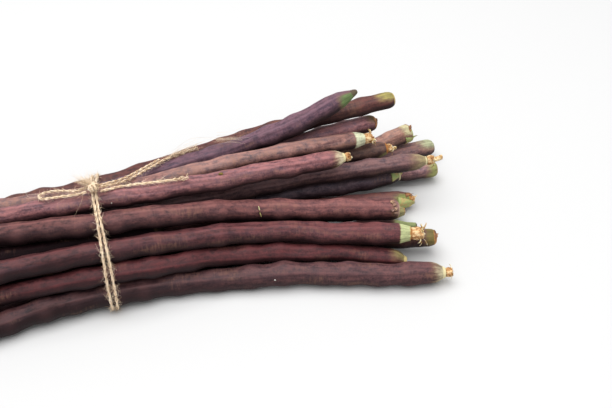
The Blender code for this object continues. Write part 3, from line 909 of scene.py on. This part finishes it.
def flap_of_flesh(node, facing, around, start, end, curl, flesh, number):
    """One flap, as its row above says, on the stem end of a pod."""
    middles, wide = ring_middles(node)
    end_outline = np.array(ENDS[LOOKS[node].end])
    bm = bmesh.new()
    bmesh.ops.create_grid(bm, x_segments=10, y_segments=14, size=0.5)
    for vert in bm.verts:
        share, flank = vert.co.x + 0.5, vert.co.y
        ragged = noise.noise(Vector((flank * 6, number * 3.0, 0.0)))
        high = start + (end - start) * share * (1 - 1.6 * flank * flank + 0.35 * ragged)
        turn = math.radians(facing + around * flank * (1 - 0.35 * share))
        hug = wide * np.interp(-high, end_outline[:, 0], end_outline[:, 1])
        wavy = noise.noise(Vector((flank * 3, share * 2, number * 7.0)))
        out = hug + (0.12 + curl * share**2 + 0.3 * wavy) * MM
        vert.co = Vector((math.cos(turn) * out, math.sin(turn) * out, high * MM))
    bmesh.ops.solidify(bm, geom=bm.faces[:], thickness=FLESH)
    put_on(bm, middles[-1], unit(middles[-1] - middles[-2]))
    name = f"{node}_flap_{number}"
    piece_of(name, smooth_mesh(bm, name), flesh)


for count, flap in enumerate(FLAPS):
    flap_of_flesh(*flap, count)


# ---------------- specks on the skins
# Small rough crumbs, set into the skins: an olive scrap of leaf, a pale nick with a little sap,
# two white dots, and five scabs on the blunt end of one pod in front. For each: the pod, its
# place and its half sizes (mm), and its colour.
CRUMBS = (
    ("pod_22", (116.6, 3.2, 42.7), (1.1, 0.7, 0.4), (116, 96, 36)),
    ("pod_21", (130.8, -7.9, 28.5), (0.25, 1.5, 0.4), (206, 200, 150)),
    ("pod_21", (130.9, -9.8, 26.6), (0.25, 1.6, 0.35), (150, 140, 84)),
    ("pod_21", (67.8, -1.7, 40.8), (0.3, 0.25, 0.3), (206, 196, 184)),
    ("pod_01", (131.5, -33.3, 7.6), (0.35, 0.35, 0.35), (226, 222, 214)),
    ("pod_21", (192.9, -14.9, 22.1), (1.0, 0.9, 0.6), (158, 122, 104)),
    ("pod_21", (193.2, -16.4, 20.9), (0.8, 1.1, 0.6), (168, 134, 112)),
    ("pod_21", (193.0, -17.6, 19.2), (0.9, 0.6, 0.9), (148, 118, 102)),
    ("pod_21", (192.3, -13.2, 22.6), (1.1, 0.9, 0.5), (176, 140, 112)),
    ("pod_21", (191.4, -16.9, 20.9), (0.8, 0.8, 0.5), (150, 116, 104)),
)
for count, (crumb_pod, spot, size, tone) in enumerate(CRUMBS):
    made, shade, finish = new_material(f"crumb_{count}", Roughness=0.8)
    grain = shade.add("TexCoord", out=3).noise(1500, 2)
    stops = [(0.42, paint(*(0.6 * part for part in tone))), (0.55, paint(*tone))]
    finish(Base_Color=shade.add("ValToRGB", {"stops": stops}, {0: grain}))
    bm = bmesh.new()
    for vert in bmesh.ops.create_icosphere(bm, subdivisions=3, radius=1)["verts"]:
        rough = 1 + 0.5 * noise.noise(vert.co * 1.6 + Vector((count * 4.0, 0, 0)))
        vert.co = Vector([c * r * rough * MM for c, r in zip(vert.co, size)]) + Vector(spot) * MM
    crumb_name = f"crumb_{count}"
    piece_of(crumb_name, smooth_mesh(bm, crumb_name), made)


# ---------------- the tie
# Two turns of the twine, pulled tight round all pods so that it lies on the outer ones, and a
# knot of a few wraps on top, with a tuft of broken fibres behind it.
TIE_X = 61.5 * MM
TURN_PITCH = 2.0 * MM
TURN_SLICE = 0.9 * MM  # either side of a turn, what the pods have there holds it out
KNOT_AT = np.array((61.5, 2.4, 48.1)) * MM
TUFT_AT = np.array((58.2, 6.0, 49.8))  # in millimetres, as all routes of fibres are
TUFT_FIBRES = 230


def tight_turn(x):
    """The line of one turn round the bunch, on the skins of the pods there."""
    spots = []
    for pod in pods.values():
        co = np.empty(len(pod.data.vertices) * 3)
        pod.data.vertices.foreach_get("co", co)
        near = co.reshape(-1, 3)
        near = near[np.abs(near[:, 0] - x) < TURN_SLICE][:, 1:]
        if len(near):
            middle = (near.min(0) + near.max(0)) / 2
            spots.append(near + unit(near - middle) * 0.45 * TWINE)
    spots = [Vector(spot) for spot in np.vstack(spots)]
    outline = np.array([spots[i] for i in convex_hull_2d(spots)])
    ring = np.column_stack([np.full(len(outline), x), outline])
    ring = spaced(np.vstack([ring, ring[:1]]), TWINE_STEP)[:-1]
    ring[:, 0] += 0.35 * MM * np.sin(along(ring) / (11 * MM) + x * 2000)
    ring[:, 2] = np.maximum(ring[:, 2], 0.42 * TWINE)
    return ring


for count, offset in enumerate((-0.5, 0.5)):
    turn_name = f"twine_turn_{count + 1}"
    turn_line = tight_turn(TIE_X + offset * TURN_PITCH)
    turn_fibres = laid_yarns(turn_line, (1, 0, 0), closed=True)
    turn_fibres += hairs(turn_line, 0.2 * MM, 4.5 * MM, closed=True)
    turn_piece = piece_of(turn_name + "_jute", fibre_mesh(turn_name, turn_fibres), cord_jute)
    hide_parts(turn_name)


def wrap(middle, axis, across, high, wide, turns, slide):
    """A coil of twine round an axis: how high and wide it is, and how far it slides along."""
    axis, across = unit(np.array(axis, float)), unit(np.array(across, float))
    third = np.cross(axis, across)
    share = np.linspace(0, 1, max(40, int(60 * turns)))[:, None]
    angle = 2 * math.pi * turns * share
    line = middle + across * np.cos(angle) * wide + third * np.sin(angle) * high
    return spaced(line + axis * (share - 0.5) * slide, TWINE_STEP)


# three coils that lie across each other, and then the tuft
knot_fibres = []
for axis, across, high, wide, turns, slide in (
    ((1, 0.15, 0), (0, 1, 0), 1.2 * MM, 1.9 * MM, 1.6, 2.4 * MM),
    ((0.2, 1, 0.1), (1, 0, 0), 1.2 * MM, 2.3 * MM, 1.3, 1.8 * MM),
    ((0.7, -0.7, 0.2), (0.7, 0.7, 0), 1.3 * MM, 2.3 * MM, 0.9, 1.0 * MM),
):
    knot_line = wrap(KNOT_AT, axis, across, high, wide, turns, slide)
    knot_fibres += laid_yarns(knot_line, axis)
for _ in range(TUFT_FIBRES):
    spread = chance.normal(size=3) * (2.4, 2.0, 1.2)
    start = KNOT_AT / MM + chance.normal(size=3) * 0.8
    knot_fibres.append(stray([start, (59.4, 4.2, 49.4) + spread * 0.5, TUFT_AT + spread]))
knot_piece = piece_of("knot_jute", fibre_mesh("knot_jute", knot_fibres), cord_jute)
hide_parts("knot")


# ---------------- table and light
# A plain white table top, just under the bunch. The light is that of an overcast day: a bright even
# sky all round, and one large soft lamp over the bunch that draws the shadows under it.
bm = bmesh.new()
just_below = Matrix.Translation((0, 0, -0.1 * MM))
bmesh.ops.create_grid(bm, x_segments=1, y_segments=1, size=3.0, matrix=just_below)
table_top = bpy.data.objects.new("table_top", smooth_mesh(bm, "table_top"))
bpy.context.scene.collection.objects.link(table_top)
table_white, _, _ = new_material(
    "table_white", Base_Color=(0.56, 0.56, 0.56, 1), Roughness=0.9, Specular_IOR_Level=0.1
)
table_top.data.materials.append(table_white)

lamp = bpy.data.objects.new("soft_lamp", bpy.data.lights.new("soft_lamp", "AREA"))
lamp.data.shape = "RECTANGLE"
lamp.data.size, lamp.data.size_y = 1.5, 1.2
lamp.data.energy = 20
lamp.location = (0.05, 0.0, 1.1)
lamp.rotation_mode = "QUATERNION"
lamp.rotation_quaternion = (LOOKED_AT - lamp.location).to_track_quat("-Z", "Y")
bpy.context.scene.collection.objects.link(lamp)

world = bpy.data.worlds.new("overcast")
world.use_nodes = True
sky = world.node_tree.nodes["Background"]
sky.inputs["Color"].default_value = (1, 1, 1, 1)
sky.inputs["Strength"].default_value = 0.72
bpy.context.scene.world = world
bpy.context.scene.view_settings.view_transform = "Standard"
bpy.context.scene.view_settings.gamma = 0.94
